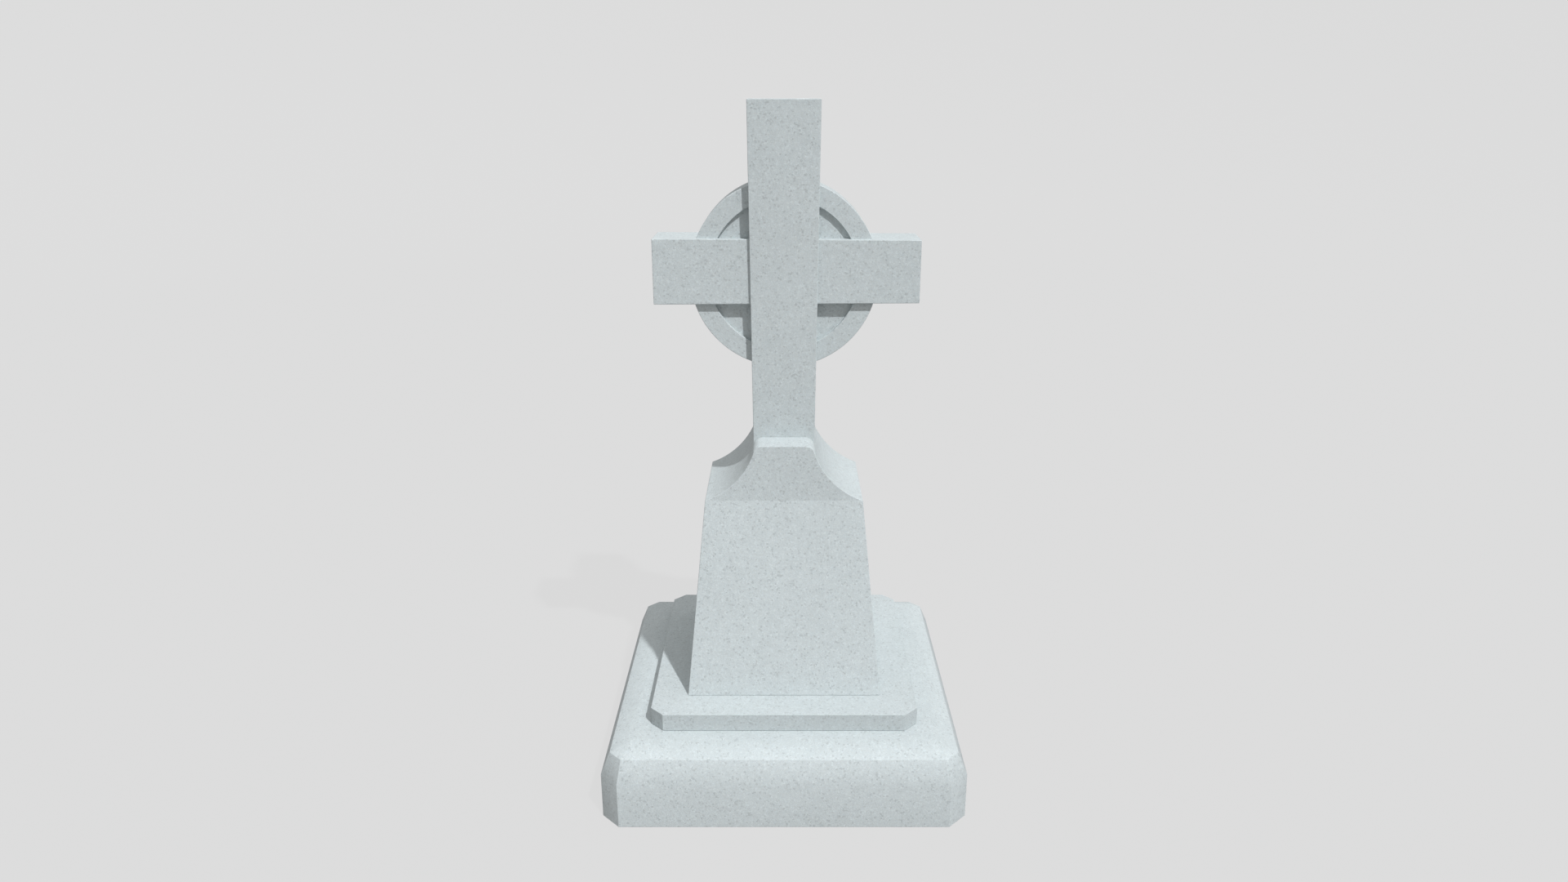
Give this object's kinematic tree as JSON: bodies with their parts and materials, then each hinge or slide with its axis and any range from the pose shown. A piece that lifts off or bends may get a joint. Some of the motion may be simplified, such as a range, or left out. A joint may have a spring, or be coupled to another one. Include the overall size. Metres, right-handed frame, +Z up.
{
  "type": "ringed cross memorial",
  "caption": "Ringed stone cross with a closed wheel head, standing on a scooped tapered pedestal, a thin step and a base slab with a weathered edge.",
  "frame": {"origin": "middle of the base slab's underside", "axes": "+Z up the shaft, -Y the way the memorial's front faces, +X to the right of someone who stands before it"},
  "size_m": [0.914, 0.905, 1.7248],
  "materials": {
    "base_slab_stone": "fine rubbed, matt",
    "step_slab_stone": "fine rubbed, matt",
    "pedestal_stone": "fine rubbed, matt",
    "ringed_cross_stone": "fine rubbed, matt"
  },
  "bodies": {
    "root": {"base_slab": "base_slab_stone", "step_slab": "step_slab_stone", "pedestal": "pedestal_stone", "ringed_cross": "ringed_cross_stone"}
  },
  "joints": []
}
